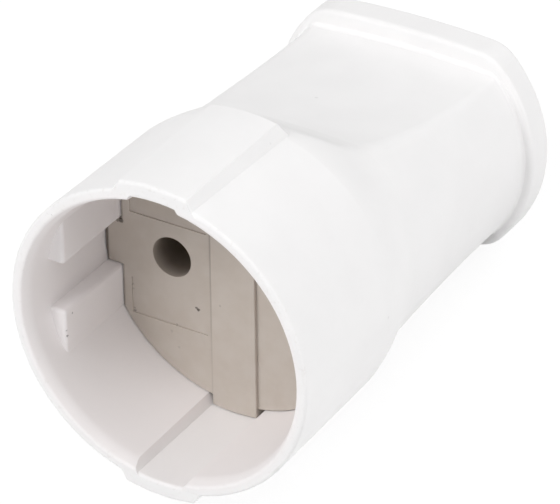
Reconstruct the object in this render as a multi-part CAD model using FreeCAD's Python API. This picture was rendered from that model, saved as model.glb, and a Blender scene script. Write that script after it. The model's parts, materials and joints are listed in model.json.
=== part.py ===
import FreeCAD, Part
import math
import os
from FreeCAD import Vector

# Inline socket connector: a two-pin mains socket for the end of a lead, a white sleeve with a beige insert.
# Millimetres. It is drawn with its axis along Y and its mouth at y = 0 facing -Y, then laid on z = 0.

# Plug side, set by the standard two-pin plug
pin_spacing = 19.0
pin_length = 19.0
pin_hole_diameter = 5.85
recess_diameter = 40.1
recess_depth = 18.75
recess_draft = 0.15

# Cup
cup_wall = 2.05
cup_taper = 0.35
cup_length = 22.3
rim_round = 0.5
lead_in_width = 0.6
lead_in_depth = 1.5
lead_in_round = 3.0

# Channels inside the cup at top and bottom, and the raised lugs over them outside
channel_width = 7.0
channel_depth = 1.0
channel_side_run = 0.7
lug_width = 9.9
lug_height = 1.2
lug_length = 21.8
lug_side_run = 0.8

# Guide ribs at left and right
rib_distance = 17.34
rib_gap = 7.08
rib_start = 5.25
rib_round = 0.5

# Grip and rear flange
shoulder_length = 10.0
shoulder_share = 0.45
ramp_share = 0.3
grip_length = 29.6
grip_wall = 2.3
shoulder_corner = 6.0
grip_corner = 1.5
neck_radius = 18.75
neck_half_height = 12.85
crown_radius = 150.0
front_flat_depth = 0.05
flare_length = 0.9
flare_turn = 75.0
flange_side_rise = 1.35
flange_flat_rise = 2.75
flange_corner = 5.5
flange_thickness = 4.3
flange_round = 0.7
rear_wall = 2.5
cable_hole_diameter = 9.5

# Insert
plate_thickness = 3.0
insert_clearance = 0.15
bar_width = 6.7
bar_height = 0.5
bar_round = 0.15
panel_margin = 1.3
panel_bar_margin = 0.85
panel_hole_margin = 2.1
panel_height = 5.45
panel_depth = 0.15
entry_length = 6.0
tower_wall = 1.8
tail_thickness = 3.0

# Contacts
sleeve_bore = 4.9
sleeve_wall = 0.6
sleeve_slit = 0.9
spring_thickness = 0.4
spring_width = 5.0
tongue_thickness = 1.2
tongue_neck_width = 3.8
terminal_length = 9.0
terminal_width = 7.0
pin_tip_room = 1.5
contact_clearance = 0.15
ring_length = 3.0
spring_gap = 2.4

# Retainer, screws and cord clamp
retainer_thickness = 2.2
screw_diameter = 3.0
screw_head_diameter = 5.6
screw_head_height = 2.0
screw_head_chamfer = 0.5
screw_slot_width = 0.7
screw_slot_depth = 0.8
screw_clearance = 0.1
screw_depth = 4.5
screw_tip_room = 0.3
washer_thickness = 0.8
cord_diameter = 8.0
clamp_gap = 3.0
clamp_length = 6.5
clamp_bar_thickness = 3.0
clamp_post_width = 7.0
clamp_post_rise = 0.5
clamp_squeeze = 1.5

# Places along the axis, from the mouth to the rear
face_y = recess_depth
seat_y = face_y + plate_thickness
shoulder_end_y = cup_length + shoulder_length
neck_y = shoulder_end_y + grip_length
flange_y = neck_y + flare_length
length = flange_y + flange_thickness
cavity_end_y = length - rear_wall
chamber_front_y = face_y + entry_length
sleeve_front_y = chamber_front_y + contact_clearance
tower_back_y = face_y + pin_length + pin_tip_room
sleeve_back_y = tower_back_y - contact_clearance
retainer_back_y = tower_back_y + retainer_thickness
terminal_front_y = retainer_back_y + contact_clearance
terminal_back_y = terminal_front_y + terminal_length
terminal_y = (terminal_front_y + terminal_back_y) / 2
clamp_front_y = terminal_back_y + clamp_gap
clamp_back_y = clamp_front_y + clamp_length
clamp_y = (clamp_front_y + clamp_back_y) / 2

# Sizes that follow from the driving ones
mouth_radius = recess_diameter / 2
seat_radius = mouth_radius - recess_draft
channel_radius = mouth_radius + channel_depth
rim_radius = mouth_radius + cup_wall
cup_end_radius = rim_radius - cup_taper
root_radius = mouth_radius + cup_wall / 2
lead_in_radius = mouth_radius + lead_in_width
lug_radius = rim_radius + lug_height
flange_radius = neck_radius + flange_side_rise
flange_half_height = neck_half_height + flange_flat_rise
pin_x = pin_spacing / 2
pin_hole_radius = pin_hole_diameter / 2
sleeve_radius = sleeve_bore / 2 + sleeve_wall
spring_radius = sleeve_radius + screw_clearance + spring_thickness
chamber_radius = spring_radius + contact_clearance
tower_half = chamber_radius + tower_wall
tongue_top = tongue_thickness - sleeve_radius
cord_radius = cord_diameter / 2
clamp_half_width = cord_radius + clamp_post_width
clamp_screw_x = cord_radius + clamp_post_width / 2
screw_radius = screw_diameter / 2
screw_hole_radius = screw_radius + screw_clearance
through_all = 2 * length
full_height = (-through_all, through_all)


def box(x, y, z):
    """Box between two limits along each axis."""
    return Part.makeBox(x[1] - x[0], y[1] - y[0], z[1] - z[0], Vector(x[0], y[0], z[0]))


def band(half_width, y, z, middle=0):
    """Box of the given half width to each side of a middle."""
    return box((middle - half_width, middle + half_width), y, z)


def rod(radius, y, x=0, z=0):
    """Round bar along Y."""
    return Part.makeCylinder(radius, y[1] - y[0], Vector(x, y[0], z), Vector(0, 1, 0))


def post(radius, x, y, z):
    """Round bar along Z."""
    return Part.makeCylinder(radius, z[1] - z[0], Vector(x, y, z[0]), Vector(0, 0, 1))


def bend(before, corner, after, rounding):
    """Start, middle and end of the arc that rounds a corner."""
    back = (before - corner).normalize()
    on = (after - corner).normalize()
    half_angle = back.getAngle(on) / 2
    reach = rounding / math.tan(half_angle)
    inset = rounding / math.sin(half_angle) - rounding
    return corner + back * reach, corner + (back + on).normalize() * inset, corner + on * reach


def turned(*places):
    """Solid turned about Y through corners (y, radius, rounding), from the axis in front to the axis behind."""
    corners = [Vector(radius, y, 0) for y, radius, rounding in places]
    edges = []
    last = corners[0]
    for i, corner in enumerate(corners[1:-1], 1):
        rounding = places[i][2]
        if rounding:
            start, middle, end = bend(corners[i - 1], corner, corners[i + 1], rounding)
            edges += [Part.makeLine(last, start), Part.Arc(start, middle, end).toShape()]
        else:
            end = corner
            edges.append(Part.makeLine(last, end))
        last = end
    edges += Part.makePolygon([last, corners[-1], corners[0]]).Edges
    return Part.Face(Part.Wire(edges)).revolve(Vector(0, 0, 0), Vector(0, 1, 0), 360)


def bore(*places):
    """Hole from the mouth inwards through corners (y, radius, rounding), as a tool to cut with.

    A disc in front of the mouth belongs to it, so that the mouth's own corner can be rounded.
    """
    disc = ((-rim_round, 0, 0), (-rim_round, rim_radius, 0), (0, rim_radius, 0))
    return turned(*disc, *places, (places[-1][0], 0, 0))


def keystone(upper, lower, y, z):
    """Bar along Y between two heights, with sides that slope through an upper and a lower edge (x, z)."""
    slope = (lower[0] - upper[0]) / (upper[1] - lower[1])
    foot, top = [upper[0] + slope * (upper[1] - level) for level in z]
    corners = [(-foot, z[0]), (-top, z[1]), (top, z[1]), (foot, z[0]), (-foot, z[0])]
    outline = Part.makePolygon([Vector(across, y[0], level) for across, level in corners])
    return Part.Face(outline).extrude(Vector(0, y[1] - y[0], 0))


def above_and_below(shape):
    """A shape and its twin, turned half round the axis."""
    twin = shape.copy()
    twin.rotate(Vector(0, 0, 0), Vector(0, 1, 0), 180)
    return [shape, twin]


def height_on(radius, x):
    """Height of a circle about the axis at a distance from the middle plane."""
    return math.sqrt(radius ** 2 - x ** 2)


def flattened_round(y, radius, half_height, corner):
    """Closed outline at y: a circle with a slightly crowned flat above and below, and rounded corners."""
    inner = radius - corner
    crown_centre = half_height - crown_radius
    crown_inner = crown_radius - corner
    corner_z = (inner ** 2 - crown_inner ** 2 + crown_centre ** 2) / (2 * crown_centre)
    corner_x = height_on(inner, corner_z)
    side_angle = math.atan2(corner_z, corner_x)
    flat_angle = math.atan2(corner_z - crown_centre, corner_x)
    bend_angle = (side_angle + flat_angle) / 2
    flat, bend, side = [(corner_x + corner * math.cos(angle), corner_z + corner * math.sin(angle))
                        for angle in (flat_angle, bend_angle, side_angle)]
    middle = (0, half_height)
    edge = (radius, 0)

    def arc(*stops):
        """Arc through three of the points above, each mirrored by the signs that go with it."""
        return Part.Arc(*[Vector(point[0] * sx, y, point[1] * sz) for point, sx, sz in stops]).toShape()

    edges = []
    for s in (1, -1):
        edges.append(arc((flat, -s, s), (middle, s, s), (flat, s, s)))
        edges.append(arc((flat, s, s), (bend, s, s), (side, s, s)))
        edges.append(arc((side, s, s), (edge, s, s), (side, s, -s)))
        edges.append(arc((side, s, -s), (bend, s, -s), (flat, s, -s)))
    return Part.Wire(edges)


def grip_sizes(y):
    """Radius, half height and corner of the shoulder and grip at y.

    A share of each change from cup to neck is a smooth step along the shoulder, and the rest eases out.
    """
    run = min(1, (y - cup_length) / shoulder_length)
    step = (3 - 2 * run) * run ** 2
    ease = 1 - ((neck_y - y) / (neck_y - cup_length)) ** 2
    front = (cup_end_radius, cup_end_radius - front_flat_depth, shoulder_corner)
    neck = (neck_radius, neck_half_height, grip_corner)
    shares = (shoulder_share, ramp_share, ramp_share)
    return [a + (b - a) * (share * step + (1 - share) * ease) for a, b, share in zip(front, neck, shares)]


def flare_outline(angle):
    """Outline of the hollow flare between neck and flange, at an angle along its quarter round."""
    rise = 1 - math.cos(angle)
    neck = (neck_radius, neck_half_height, grip_corner)
    rim = (flange_radius, flange_half_height, flange_corner)
    sizes = [a + (b - a) * rise for a, b in zip(neck, rim)]
    return flattened_round(neck_y + flare_length * math.sin(angle), *sizes)


def flange():
    """Rear flange with rounded edges. Its front edge laps over the end of the flare."""
    front_y = flange_y - flange_round / 2
    face = Part.Face(flattened_round(front_y, flange_radius, flange_half_height, flange_corner))
    solid = face.extrude(Vector(0, length - front_y, 0))
    edges = [edge for edge in solid.Edges if edge.BoundBox.YLength < flange_round]
    return solid.makeFillet(flange_round, edges)


def outer_body():
    """Outside of the sleeve, solid: cup, shoulder, grip, flare and flange."""
    steps = 4
    shares = [i / steps for i in range(steps + 1)]
    cup = turned((0, 0, 0), (0, rim_radius, rim_round), (cup_length, cup_end_radius, 0), (cup_length, 0, 0))
    shoulder_places = [cup_length + shoulder_length * share for share in shares]
    grip_places = [shoulder_end_y + grip_length * share for share in shares]
    flare_angles = [math.radians(flare_turn) * share for share in shares]
    shoulder = Part.makeLoft([flattened_round(y, *grip_sizes(y)) for y in shoulder_places], True)
    grip = Part.makeLoft([flattened_round(y, *grip_sizes(y)) for y in grip_places], True)
    flare = Part.makeLoft([flare_outline(angle) for angle in flare_angles], True)
    return cup.fuse([shoulder, grip, flare, flange()])


def lugs():
    """Raised lugs over the channels, with sloping sides and rear ends, rooted in the cup's wall."""
    half = lug_width / 2
    foot = half + lug_side_run
    upper = (half, height_on(lug_radius, half))
    lower = (foot, height_on(rim_radius, foot))
    end_y = lug_length + lug_side_run * (lug_radius - root_radius) / lug_height
    root_z = height_on(root_radius, foot + lug_side_run)
    layer = turned((0, 0, 0), (0, lug_radius, rim_round), (lug_length, lug_radius, 0),
                   (end_y, root_radius, 0), (end_y, 0, 0))
    block = keystone(upper, lower, (0, end_y), (root_z, lug_radius))
    return above_and_below(layer.common(block))


def channels():
    """Channels along the recess, with sloping sides, as tools to cut with."""
    half = channel_width / 2
    edge = half + channel_side_run
    upper = (half, height_on(channel_radius, half))
    lower = (edge, height_on(mouth_radius, edge))
    layer = bore((0, channel_radius, rim_round), (seat_y, channel_radius, 0))
    block = keystone(upper, lower, (0, seat_y), (0, channel_radius + rim_round))
    return above_and_below(layer.common(block))


def guide_ribs():
    """Two pairs of ribs on the recess's sides, from behind the mouth down to the insert's seat."""
    ribs = []
    for sx in (-1, 1):
        for sz in (-1, 1):
            x = sorted((sx * rib_distance, sx * through_all))
            z = sorted((sz * rib_gap / 2, sz * through_all))
            corner = Vector(sx * rib_distance, rib_start, sz * rib_gap / 2)
            rib = rod(root_radius, (rib_start, seat_y)).common(box(x, (0, length), z))
            edges = [edge for edge in rib.Edges if edge.distToShape(Part.Vertex(corner))[0] < rib_round / 2]
            ribs.append(rib.makeFillet(rib_round, edges))
    return ribs


def cavity():
    """Hollow of the grip behind the insert's seat."""
    front_radius, front_half, front_corner = grip_sizes(shoulder_end_y)
    inner_radius = front_radius - grip_wall
    rear = (neck_radius - grip_wall, neck_half_height - grip_wall, grip_corner)
    places = ((seat_y, inner_radius, inner_radius - front_flat_depth, front_corner),
              (shoulder_end_y, inner_radius, front_half - grip_wall, front_corner),
              (neck_y, *rear), (cavity_end_y, *rear))
    return Part.makeLoft([flattened_round(*place) for place in places], True, True)


def housing():
    """White sleeve in one piece."""
    body = outer_body().fuse(lugs())
    recess = bore((0, lead_in_radius, rim_round), (lead_in_depth, mouth_radius, lead_in_round),
                  (seat_y, seat_radius, 0))
    cable_hole = rod(cable_hole_diameter / 2, (cavity_end_y, length))
    body = body.cut([recess, cavity(), cable_hole] + channels())
    return body.fuse(guide_ribs()).removeSplitter()


def lands():
    """Shallow sunk panels above and below the left pin hole, as tools to cut with."""
    outer = rib_distance - insert_clearance - panel_margin
    inner = bar_width / 2 + panel_bar_margin
    near = pin_hole_radius + panel_hole_margin
    across = (-outer, -inner)
    depth = (face_y - bar_height, face_y + panel_depth)
    return [box(across, depth, (near, through_all)), box(across, depth, (-near - panel_height, -near))]


def insert_plate():
    """Face plate that drops past the ribs on to the seat, and the bar whose ends lock in the channels."""
    plate_radius = seat_radius - insert_clearance
    tab_half = rib_gap / 2 - insert_clearance
    depth = (face_y, seat_y)
    between_ribs = band(rib_distance - insert_clearance, depth, full_height)
    tabs = band(plate_radius, depth, (-tab_half, tab_half))
    plate = rod(plate_radius, depth).common(between_ribs.fuse(tabs)).cut(lands())
    bar_depth = (face_y - bar_height, seat_y)
    bar = rod(channel_radius - insert_clearance, bar_depth)
    bar = bar.common(band(bar_width / 2, bar_depth, full_height))
    front_edges = [edge for edge in bar.Edges if edge.BoundBox.YMax < face_y - bar_height + bar_round]
    return plate.fuse(bar.makeFillet(bar_round, front_edges))


def screw_hole(x, y, top):
    """Blind hole for a screw that goes down from top."""
    return post(screw_hole_radius, x, y, (top - screw_depth - screw_tip_room, top))


def socket_insert():
    """Beige insert: face plate, contact towers and a tail with terminal pillars and the cord saddle."""
    root_y = face_y + plate_thickness / 2
    tail_half = pin_x + terminal_width / 2
    tail_z = (-tower_half - tail_thickness, -tower_half)
    web_half = screw_radius + tower_wall
    web_hole_y = tower_back_y - screw_depth - screw_tip_room
    slot_half = tongue_neck_width / 2 + contact_clearance
    slot_y = (sleeve_back_y - pin_tip_room, tower_back_y)
    slot_z = (-sleeve_radius - contact_clearance, 0)
    solids = [band(pin_x, (root_y, tower_back_y), (-web_half, web_half)),
              band(tail_half, (root_y, clamp_back_y), tail_z),
              band(clamp_half_width, (clamp_front_y, clamp_back_y), (-tower_half, clamp_post_rise))]
    holes = [rod(cord_radius, (clamp_front_y, clamp_back_y)),
             rod(screw_hole_radius, (web_hole_y, tower_back_y))]
    for x in (-pin_x, pin_x):
        pillar_y = (terminal_front_y, terminal_back_y)
        solids.append(band(tower_half, (root_y, tower_back_y), (-tower_half, tower_half), x))
        solids.append(band(terminal_width / 2, pillar_y, (-tower_half, -sleeve_radius), x))
        holes.append(rod(pin_hole_radius, (0, chamber_front_y), x))
        holes.append(rod(chamber_radius, (chamber_front_y, tower_back_y), x))
        holes.append(band(slot_half, slot_y, slot_z, x))
        holes.append(screw_hole(x, terminal_y, -sleeve_radius))
    for x in (-clamp_screw_x, clamp_screw_x):
        holes.append(screw_hole(x, clamp_y, clamp_post_rise))
    return insert_plate().fuse(solids).cut(holes).removeSplitter()


def contact(x):
    """Brass sleeve, slit so that it grips the pin, with a tongue that carries the terminal."""
    tongue_z = (-sleeve_radius, tongue_top)
    neck_y_run = (face_y + pin_length + contact_clearance, terminal_back_y)
    sleeve = rod(sleeve_radius, (sleeve_front_y, sleeve_back_y), x)
    bore = rod(sleeve_bore / 2, (sleeve_front_y, sleeve_back_y), x)
    slit = band(sleeve_slit / 2, (sleeve_front_y, sleeve_back_y - ring_length), (0, tower_half), x)
    neck = band(tongue_neck_width / 2, neck_y_run, tongue_z, x)
    pad = band(terminal_width / 2, (terminal_front_y, terminal_back_y), tongue_z, x)
    hole = post(screw_hole_radius, x, terminal_y, tongue_z)
    return sleeve.cut([bore, slit]).fuse([neck, pad]).cut(hole).removeSplitter()


def contact_spring(x):
    """Open steel ring that closes the slit sleeve on the pin."""
    front_y = (sleeve_front_y + sleeve_back_y - ring_length - spring_width) / 2
    run = (front_y, front_y + spring_width)
    ring = rod(spring_radius, run, x).cut(rod(sleeve_radius + screw_clearance, run, x))
    return ring.cut(band(spring_gap / 2, run, (0, tower_half), x))


def contact_retainer():
    """Plate that drops over the tongues and closes the chambers from behind."""
    depth = (tower_back_y, retainer_back_y)
    notch_half = tongue_neck_width / 2 + contact_clearance
    notch_z = (-tower_half, tongue_top + contact_clearance)
    plate = band(pin_x + tower_half, depth, (contact_clearance - tower_half, tower_half))
    notches = [band(notch_half, depth, notch_z, x) for x in (-pin_x, pin_x)]
    return plate.cut(notches + [rod(screw_hole_radius, depth)])


def screw(x, y, seat, grip):
    """Slotted screw pointing down, with its head on the seat and its shank through the grip below."""
    top = seat + screw_head_height
    head = post(screw_head_diameter / 2, x, y, (seat, top))
    top_edge = [edge for edge in head.Edges if edge.BoundBox.ZMin > top - screw_head_chamfer]
    head = head.makeChamfer(screw_head_chamfer, top_edge)
    slot_y = (y - screw_slot_width / 2, y + screw_slot_width / 2)
    slot = band(screw_head_diameter, slot_y, (top - screw_slot_depth, top), x)
    return head.cut(slot).fuse(post(screw_radius, x, y, (seat - grip - screw_depth, seat)))


def retainer_screw():
    """Screw through the retainer into the web between the towers."""
    solid = screw(0, 0, 0, retainer_thickness)
    solid.rotate(Vector(0, 0, 0), Vector(1, 0, 0), -90)
    solid.translate(Vector(0, retainer_back_y, 0))
    return solid


def terminal_washer(x):
    """Washer that presses the wire on the tongue."""
    height = (tongue_top, tongue_top + washer_thickness)
    hole = post(screw_hole_radius, x, terminal_y, height)
    return post(terminal_width / 2, x, terminal_y, height).cut(hole)


def cord_clamp_bar():
    """Bar across the saddle, hollowed on its underside for the cord."""
    depth = (clamp_front_y, clamp_back_y)
    bar = band(clamp_half_width, depth, (clamp_post_rise, clamp_post_rise + clamp_bar_thickness))
    hollow = rod(cord_radius, depth, 0, clamp_post_rise + clamp_squeeze - cord_radius)
    holes = [post(screw_hole_radius, x, clamp_y, full_height) for x in (-clamp_screw_x, clamp_screw_x)]
    return bar.cut([hollow] + holes)


def rest_placement(body):
    """Placement that lays the socket on z = 0, on its lug or cup in front and on its flange behind."""
    back_y = length - flange_round
    supports = ((lug_length, lug_radius), (cup_length, cup_end_radius))
    slope = max((z - flange_half_height) / (back_y - y) for y, z in supports)
    turn = FreeCAD.Rotation(Vector(1, 0, 0), -math.degrees(math.atan(slope)))
    laid = body.copy()
    laid.Placement = FreeCAD.Placement(Vector(0, 0, 0), turn)
    bounds = laid.optimalBoundingBox(True)
    return FreeCAD.Placement(Vector(0, -(bounds.YMin + bounds.YMax) / 2, -bounds.ZMin), turn)


def build():
    """Every piece by name, in the drawing frame."""
    washer_top = tongue_top + washer_thickness
    terminal_grip = tongue_thickness + washer_thickness
    clamp_top = clamp_post_rise + clamp_bar_thickness
    pieces = {"housing": housing(), "socket_insert": socket_insert(), "contact_retainer": contact_retainer(),
              "retainer_screw": retainer_screw(), "cord_clamp_bar": cord_clamp_bar()}
    for side, sign in (("left", -1), ("right", 1)):
        x = sign * pin_x
        clamp_x = sign * clamp_screw_x
        pieces["contact_" + side] = contact(x)
        pieces["contact_spring_" + side] = contact_spring(x)
        pieces["terminal_washer_" + side] = terminal_washer(x)
        pieces["terminal_screw_" + side] = screw(x, terminal_y, washer_top, terminal_grip)
        pieces["cord_clamp_screw_" + side] = screw(clamp_x, clamp_y, clamp_top, clamp_bar_thickness)
    return pieces


os.makedirs("parts", exist_ok=True)
pieces = build()
resting = rest_placement(pieces["housing"])
for node, shape in pieces.items():
    shape.Placement = resting.multiply(shape.Placement)
    shape.exportStep("parts/" + node + ".step")
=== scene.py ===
import json
import math

import bpy
from mathutils import Matrix, Vector

# Looks, stage, light and camera for the inline socket connector.
# Scene lengths are metres. Places on the socket are millimetres along its own axes:
# X right, Y from the mouth towards the rear, Z up, with the middle of the mouth at zero.

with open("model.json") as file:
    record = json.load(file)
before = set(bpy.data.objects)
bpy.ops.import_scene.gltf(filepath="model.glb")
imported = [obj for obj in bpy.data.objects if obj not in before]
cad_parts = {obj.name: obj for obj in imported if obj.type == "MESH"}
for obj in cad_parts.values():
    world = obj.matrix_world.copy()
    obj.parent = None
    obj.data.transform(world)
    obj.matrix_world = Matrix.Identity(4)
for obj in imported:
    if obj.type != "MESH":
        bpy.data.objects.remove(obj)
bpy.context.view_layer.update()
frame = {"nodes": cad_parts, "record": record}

MM = 0.001

# The photograph's view, along the socket's own axes
camera_place = (262.928, -397.461, 311.112)
camera_azimuth = 31.586
camera_elevation = 31.985
camera_roll = -0.716
camera_lens = 289.82
sensor_width = 36.0

# Stage and light. To the camera the floor glows, and only its shade takes light and shadow.
# A lamp's azimuth goes from straight before the mouth round to the right.
floor_size = 6.0
floor_white = 0.9
floor_glow = 0.9
floor_shade = 0.14
ambient = 0.3
lamp_distance = 1.0
lamps = {"key": {"azimuth": 331, "elevation": 45, "size": 0.45, "power": 4.6},
         "right_high": {"azimuth": 45, "elevation": 62, "size": 0.7, "power": 1.95},
         "right_low": {"azimuth": 90, "elevation": 12, "size": 0.5, "power": 2.25},
         "right_rear": {"azimuth": 135, "elevation": 45, "size": 0.8, "power": 1.95},
         "rear": {"azimuth": 180, "elevation": 55, "size": 0.8, "power": 1.25}}

# Smooth shading keeps edges that are sharper than this
crease_angle = 32.0

# Colours as they look on screen, 0 to 255
white_tone = (244, 243, 243)
white_grey_tone = (242, 241, 241)
# Painted shade: the tint of the light bounced inside the cup, used as the colour of its inside
white_inside_painted_shade_tone = (244, 240, 240)
scuff_tone = (222, 218, 214)
beige_tone = (195, 186, 177)
beige_dark_tone = (191, 181, 171)
# Painted shade down the pin holes
hole_painted_shade_tone = (124, 113, 103)
# The speck tone darkens both the dirt specks and the painted shade
speck_and_shade_tone = (70, 61, 54)
brass_tone = (214, 178, 106)
brass_dark_tone = (178, 138, 74)
spring_tone = (178, 178, 180)
spring_dark_tone = (140, 140, 143)
plated_tone = (212, 212, 214)
plated_dark_tone = (186, 186, 190)

# Places on the socket
cup_radius = 22.0
inside_radius = 20.0
insert_face_y = 18.75
pin_x = 9.5
pin_hole_radius = 2.925
bar_edge_x = -3.5
tab_half_height = 3.45

# Noise: the range that most of its values lie in, and its levels of detail
noise_range = (0.3, 0.7)
line_detail = 2.0
soft_detail = 3.0
fine_detail = 4.0

# White plastic. A scale is about the features in a millimetre, and a depth is in millimetres.
plastic_ior = 1.5
cloud_scale = 0.15
# The painted shade tint inside the cup fades out over this depth behind the insert's face
inside_shade_fade = 1.0
rim_scuff_depth = 0.9
rim_scuff_scale = 1.6
rim_scuff_range = (0.56, 0.72)
rim_scuff_share = 0.3
white_wear_scale = 0.7
white_roughness = (0.54, 0.64)
white_grain_scale = 3.0
white_grain_depth = 0.008

# Beige plastic. Painted shade goes from one distance to the other, and from one share to the
# other.
blotch_scale = 0.35
beige_wear_scale = 1.2
beige_roughness = (0.52, 0.66)
beige_grain_scale = 5.0
beige_grain_depth = 0.012
# Painted shade at the pin holes and beside the tabs softens over this width
shade_edge = 0.1
# Painted shade down the pin holes grows between these depths, counted from the insert's face
hole_shade_reach = (-1.2, 2.8)
# Painted shade along the foot of the bar's left edge, stronger towards the top
bar_shade_reach = (0.36, 0.16)
bar_shade_heights = (-18.0, 4.0)
bar_shade_shares = (0.1, 0.3)
# Painted shade in the gaps along the insert's outer edges, and along its sides above and below
# the tabs
tab_shade_reach = (19.2, 19.5)
tab_shade_shares = (0.0, 0.8)
side_shade_reach = (16.85, 17.1)
side_shade_shares = (0.0, 0.4)

# Metals
stain_scale = 0.6
stain_range = (0.35, 0.75)
drawn_scales = (9.0, 0.6, 9.0)
drawn_depth = 0.006
worn_rise = 0.15
brass_roughness = 0.28
spring_roughness = 0.34
plated_roughness = 0.22

# Specks of dirt, two beige ones painted shade in a gap: place, radius and strength. Noise pulls
# their edges about.
speck_pull_scale = 4.0
speck_pull = 0.35
white_specks = (((-17.34, 6.87, -4.56), 0.20, 0.55),
                ((-17.38, 5.57, -7.40), 0.22, 0.60),
                ((-17.43, 5.47, -6.52), 0.18, 0.40),
                ((-15.10, 0.00, 14.64), 0.13, 0.25),
                ((-13.39, 0.00, 15.60), 0.12, 0.25),
                ((-14.66, 0.00, 14.18), 0.10, 0.20),
                ((-2.74, 9.42, -19.70), 0.22, 0.30),
                ((-1.72, 42.60, 14.31), 0.28, 0.12),
                ((5.64, 19.02, 21.54), 0.25, 0.08),
                ((21.75, 20.97, -0.42), 0.25, 0.12))
# The first two beige specks are painted shade in the gap where the upper rib meets the insert
beige_specks_and_gap_shade = (((-17.30, 18.75, 3.20), 0.50, 0.80),
                ((-17.85, 18.75, 3.10), 0.36, 0.60),
                ((-5.72, 18.90, -7.00), 0.32, 0.90),
                ((-5.98, 18.90, -6.78), 0.24, 0.75),
                ((-1.93, 18.25, -4.83), 0.22, 0.30),
                ((-9.08, 18.80, -10.32), 0.20, 0.40),
                ((-9.81, 18.75, -11.56), 0.28, 0.18),
                ((-8.78, 18.75, -13.74), 0.26, 0.16),
                ((-15.75, 18.80, -6.20), 0.26, 0.25),
                ((-15.75, 18.80, -6.90), 0.24, 0.20),
                ((-15.68, 18.80, -9.85), 0.26, 0.35),
                ((-15.62, 18.80, -10.25), 0.26, 0.50))


def linear(tone):
    """Screen colour as the linear colour that a shader takes, by the sRGB standard."""
    shares = [c / 255 for c in tone]
    steps = [s / 12.92 if s <= 0.04045 else ((s + 0.055) / 1.055) ** 2.4 for s in shares]
    return (*steps, 1.0)


def socket_axes():
    """Matrix from millimetres along the socket's own axes to the scene."""
    mount = next(m for m in frame["record"]["mounts"] if m["name"] == "plug_recess")
    middle = Vector(mount["pos_m"])
    along = -Vector(mount["axis"]).normalized()
    across = Vector((1, 0, 0))
    turn = Matrix((across, along, across.cross(along))).transposed().to_4x4()
    return Matrix.Translation(middle) @ turn @ Matrix.Scale(MM, 4)


to_scene = socket_axes()


def direction(azimuth, elevation):
    """Unit vector towards an azimuth and an elevation in degrees."""
    turn, rise = math.radians(azimuth), math.radians(elevation)
    level = Vector((math.sin(turn), -math.cos(turn), 0))
    return level * math.cos(rise) + Vector((0, 0, math.sin(rise)))


def place_camera():
    """Camera at the photograph's viewpoint."""
    azimuth, roll = math.radians(camera_azimuth), math.radians(camera_roll)
    right = Vector((math.cos(azimuth), math.sin(azimuth), 0))
    back = direction(camera_azimuth, camera_elevation)
    up = back.cross(right)
    rolled_right = right * math.cos(roll) + up * math.sin(roll)
    rolled_up = up * math.cos(roll) - right * math.sin(roll)
    axes = Matrix((rolled_right, rolled_up, back)).transposed()
    turn = to_scene.to_quaternion().to_matrix() @ axes
    place = to_scene @ Vector(camera_place)
    data = bpy.data.cameras.new("camera")
    data.sensor_fit = "HORIZONTAL"
    data.sensor_width = sensor_width
    data.lens = camera_lens
    camera = bpy.data.objects.new("camera", data)
    camera.matrix_world = Matrix.Translation(place) @ turn.to_4x4()
    bpy.context.scene.collection.objects.link(camera)
    bpy.context.scene.camera = camera


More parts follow.
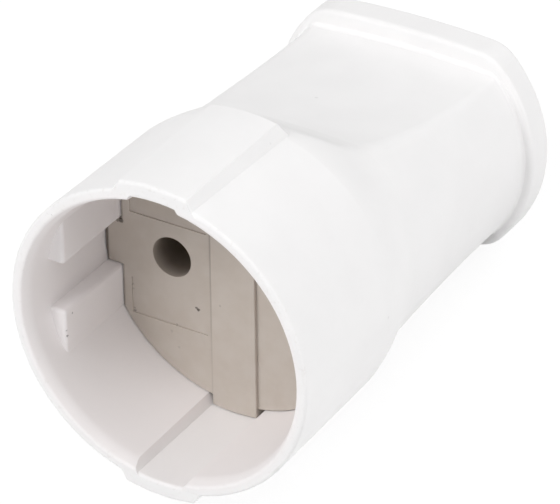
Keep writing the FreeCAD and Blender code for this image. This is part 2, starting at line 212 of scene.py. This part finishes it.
class Shading:
    """Node tree of a new material or world, with short calls to add and link nodes."""

    def __init__(self, owner):
        self.owner = owner
        owner.use_nodes = True
        self.tree = owner.node_tree

    def node(self, kind, *inputs, **settings):
        """New node of a kind. Inputs are set or linked in order, settings are its own."""
        new = self.tree.nodes.new("ShaderNode" + kind)
        for key, value in settings.items():
            setattr(new, key, value)
        for socket, value in zip(new.inputs, inputs):
            self.put(socket, value)
        return new

    def put(self, socket, value):
        """Link an output to a socket, or set its value. None leaves the socket as it is."""
        if isinstance(value, bpy.types.NodeSocket):
            self.tree.links.new(value, socket)
        elif value is not None:
            socket.default_value = value

    def places(self):
        """Place on the socket in millimetres along its own axes."""
        away, turn, size = to_scene.inverted().decompose()
        here = self.node("TexCoord").outputs["Object"]
        return self.node("Mapping", here, away, turn.to_euler(), size).outputs[0]

    def maths(self, operation, *values):
        return self.node("Math", *values, operation=operation).outputs[0]

    def vectors(self, operation, *values):
        return self.node("VectorMath", *values, operation=operation).outputs

    def distance(self, first, second):
        """Distance from zero of a point in a plane."""
        squares = [self.maths("MULTIPLY", side, side) for side in (first, second)]
        return self.maths("SQRT", self.maths("ADD", *squares))

    def noise(self, where, scale, detail):
        """Soft noise from 0 to 1, with about scale features in a millimetre."""
        return self.node("TexNoise", where, None, scale, detail).outputs["Fac"]

    def ramp(self, value, start, end, low=0.0, high=1.0):
        """Smooth step from low at start to high at end."""
        limits = (start, end, low, high)
        return self.node("MapRange", value, *limits, interpolation_type="SMOOTHSTEP").outputs[0]

    def mix(self, share, first, second):
        """First colour with a share of the second."""
        blend = self.node("Mix", data_type="RGBA")
        self.put(blend.inputs["Factor"], share)
        colours = [socket for socket in blend.inputs if socket.type == "RGBA"]
        self.put(colours[0], first)
        self.put(colours[1], second)
        return next(socket for socket in blend.outputs if socket.type == "RGBA")

    def specks(self, where, listed):
        """Share of dirt from a list of specks with ragged edges; listed specks of painted shade
        count alike.
        """
        cloud = self.node("TexNoise", where, None, speck_pull_scale, line_detail)
        centred = self.vectors("SUBTRACT", cloud.outputs["Color"], (0.5, 0.5, 0.5))[0]
        pull = self.vectors("MULTIPLY", centred, (speck_pull, speck_pull, speck_pull))[0]
        moved = self.vectors("ADD", where, pull)[0]
        total = None
        for place, radius, strength in listed:
            gap = self.vectors("DISTANCE", moved, place)["Value"]
            spot = self.ramp(gap, radius, radius / 2, 0.0, strength)
            total = spot if total is None else self.maths("MAXIMUM", total, spot)
        return total

    def bump(self, height, depth):
        """Normal of a surface whose height goes up and down by a depth in millimetres."""
        node = self.node("Bump")
        self.put(node.inputs["Distance"], depth * MM)
        self.put(node.inputs["Height"], height)
        return node.outputs[0]

    def seen(self):
        """1 for rays that show what lies behind the socket, and 0 for rays that only light."""
        path = self.node("LightPath").outputs
        gloss = self.maths("MAXIMUM", path["Is Camera Ray"], path["Is Glossy Ray"])
        return self.maths("MAXIMUM", gloss, path["Is Transmission Ray"])

    def principled(self, **values):
        """Values of the material's own shader, by the names of its sockets."""
        shader = self.tree.nodes["Principled BSDF"]
        for name, value in values.items():
            title = name.replace("_", " ").title().replace("Ior", "IOR")
            self.put(shader.inputs[title], value)


def new_material(name):
    return Shading(bpy.data.materials.new(name))


def white_plastic():
    """Satin white moulding: faint clouding, fine grain, a scuffed rim, a few specks, and a tint
    of painted shade inside the cup.
    """
    s = new_material("white_plastic")
    where = s.places()
    x, y, z = s.node("SeparateXYZ", where).outputs
    # Painted shade: the inside of the cup, up to the insert's face, takes the tint of its
    # bounced light
    before_face = s.ramp(y, insert_face_y + inside_shade_fade, insert_face_y)
    within_cup = s.ramp(s.distance(x, z), cup_radius, inside_radius)
    inside = s.maths("MULTIPLY", within_cup, before_face)
    clouds = s.ramp(s.noise(where, cloud_scale, soft_detail), *noise_range)
    scratches = s.noise(where, rim_scuff_scale, fine_detail)
    scuffs = s.ramp(scratches, *rim_scuff_range, 0.0, rim_scuff_share)
    scuffs = s.maths("MULTIPLY", scuffs, s.ramp(y, rim_scuff_depth, 0.0))
    colour = s.mix(clouds, linear(white_tone), linear(white_grey_tone))
    colour = s.mix(inside, colour, linear(white_inside_painted_shade_tone))
    colour = s.mix(scuffs, colour, linear(scuff_tone))
    colour = s.mix(s.specks(where, white_specks), colour, linear(speck_and_shade_tone))
    wear = s.noise(where, white_wear_scale, fine_detail)
    roughness = s.ramp(wear, *noise_range, *white_roughness)
    grain = s.bump(s.noise(where, white_grain_scale, soft_detail), white_grain_depth)
    s.principled(base_color=colour, roughness=roughness, ior=plastic_ior, normal=grain)
    return s.owner


def beige_painted_shade(s, x, y, z):
    """Shares of painted shade in the pin holes, along the insert's bar and in the gaps at its
    edges.
    """
    across = s.maths("ABSOLUTE", x)
    from_pin = s.distance(s.maths("SUBTRACT", across, pin_x), z)
    # Painted shade: the pin holes darken with depth
    in_hole = s.ramp(from_pin, pin_hole_radius + shade_edge, pin_hole_radius)
    down_hole = s.ramp(y, *(insert_face_y + reach for reach in hole_shade_reach))
    holes = s.maths("MULTIPLY", in_hole, down_hole)
    # Painted shade in the corner at the foot of the bar's left edge
    from_bar = s.maths("ABSOLUTE", s.maths("SUBTRACT", x, bar_edge_x))
    fade = s.ramp(z, *bar_shade_heights, *bar_shade_shares)
    bar = s.maths("MULTIPLY", s.ramp(from_bar, *bar_shade_reach), fade)
    # Painted shade in the gaps at the insert's edges
    height = s.maths("ABSOLUTE", z)
    off_tabs = s.ramp(height, tab_half_height - shade_edge, tab_half_height)
    sides = s.maths("MULTIPLY", off_tabs, s.ramp(across, *side_shade_reach, *side_shade_shares))
    edges = s.maths("MAXIMUM", s.ramp(across, *tab_shade_reach, *tab_shade_shares), sides)
    return holes, bar, edges


def beige_plastic():
    """Matt beige moulding: blotches, spark grain, painted shade in holes and corners, a few
    specks.
    """
    s = new_material("beige_plastic")
    where = s.places()
    blotches = s.ramp(s.noise(where, blotch_scale, fine_detail), *noise_range)
    holes, bar, edges = beige_painted_shade(s, *s.node("SeparateXYZ", where).outputs)
    colour = s.mix(blotches, linear(beige_tone), linear(beige_dark_tone))
    # Painted shade down the pin holes
    colour = s.mix(holes, colour, linear(hole_painted_shade_tone))
    # Painted shade along the bar and in the gaps, then the specks: dirt, and two of painted
    # shade
    for dirt in (bar, edges, s.specks(where, beige_specks_and_gap_shade)):
        colour = s.mix(dirt, colour, linear(speck_and_shade_tone))
    wear = s.noise(where, beige_wear_scale, fine_detail)
    roughness = s.ramp(wear, *noise_range, *beige_roughness)
    grain = s.bump(s.noise(where, beige_grain_scale, soft_detail), beige_grain_depth)
    s.principled(base_color=colour, roughness=roughness, ior=plastic_ior, normal=grain)
    return s.owner


def metal(name, tone, dark_tone, roughness):
    """Metal with handling stains and fine drawn lines."""
    s = new_material(name)
    where = s.places()
    stains = s.ramp(s.noise(where, stain_scale, fine_detail), *stain_range)
    colour = s.mix(stains, linear(tone), linear(dark_tone))
    lines = s.noise(s.vectors("MULTIPLY", where, drawn_scales)[0], 1.0, line_detail)
    worn = s.ramp(lines, *noise_range, roughness, roughness + worn_rise)
    drawn = s.bump(lines, drawn_depth)
    s.principled(base_color=colour, metallic=1.0, roughness=worn, normal=drawn)
    return s.owner


def dress():
    """Material and smooth shading on every solid."""
    spring_steel = metal("spring_steel", spring_tone, spring_dark_tone, spring_roughness)
    plated_steel = metal("plated_steel", plated_tone, plated_dark_tone, plated_roughness)
    finishes = {"white_plastic": white_plastic(),
                "beige_plastic": beige_plastic(),
                "brass": metal("brass", brass_tone, brass_dark_tone, brass_roughness),
                "spring_steel": spring_steel,
                "plated_steel": plated_steel}
    for part in frame["record"]["subparts"]:
        mesh = frame["nodes"][part["node"]].data
        mesh.materials.clear()
        mesh.materials.append(finishes[part["material_slot"]])
        mesh.shade_smooth()
        mesh.set_sharp_from_angle(angle=math.radians(crease_angle))


def floor():
    """White floor that glows just enough to look white, and keeps a soft shadow."""
    s = new_material("floor")
    plain = s.node("BsdfDiffuse", (floor_white, floor_white, floor_white, 1))
    glow = s.node("Emission", (1, 1, 1, 1), floor_glow)
    shade = s.node("BsdfDiffuse", (floor_shade, floor_shade, floor_shade, 1))
    shown = s.node("AddShader", glow.outputs[0], shade.outputs[0])
    mix = s.node("MixShader", s.seen(), plain.outputs[0], shown.outputs[0])
    s.put(s.tree.nodes["Material Output"].inputs["Surface"], mix.outputs[0])
    half = floor_size / 2
    corners = [(-half, -half, 0), (half, -half, 0), (half, half, 0), (-half, half, 0)]
    mesh = bpy.data.meshes.new("floor")
    mesh.from_pydata(corners, [], [(0, 1, 2, 3)])
    mesh.materials.append(s.owner)
    ground = bpy.data.objects.new("floor", mesh)
    bpy.context.scene.collection.objects.link(ground)


def lamp(name, azimuth, elevation, size, power):
    """Square soft lamp that looks at the socket."""
    data = bpy.data.lights.new(name, "AREA")
    data.size = size
    data.energy = power
    away = direction(azimuth, elevation)
    facing = away.to_track_quat("Z", "Y").to_matrix().to_4x4()
    light = bpy.data.objects.new(name, data)
    light.matrix_world = Matrix.Translation(away * lamp_distance) @ facing
    bpy.context.scene.collection.objects.link(light)


def surroundings():
    """World that lights evenly and looks white to the camera."""
    s = Shading(bpy.data.worlds.new("studio"))
    strength = s.node("MapRange")
    s.put(strength.inputs["Value"], s.seen())
    s.put(strength.inputs["To Min"], ambient)
    s.put(strength.inputs["To Max"], 1.0)
    background = s.tree.nodes["Background"].inputs
    s.put(background["Color"], (1, 1, 1, 1))
    s.put(background["Strength"], strength.outputs[0])
    bpy.context.scene.world = s.owner


dress()
floor()
surroundings()
for name, values in lamps.items():
    lamp(name, **values)
place_camera()
bpy.context.scene.view_settings.view_transform = "Standard"
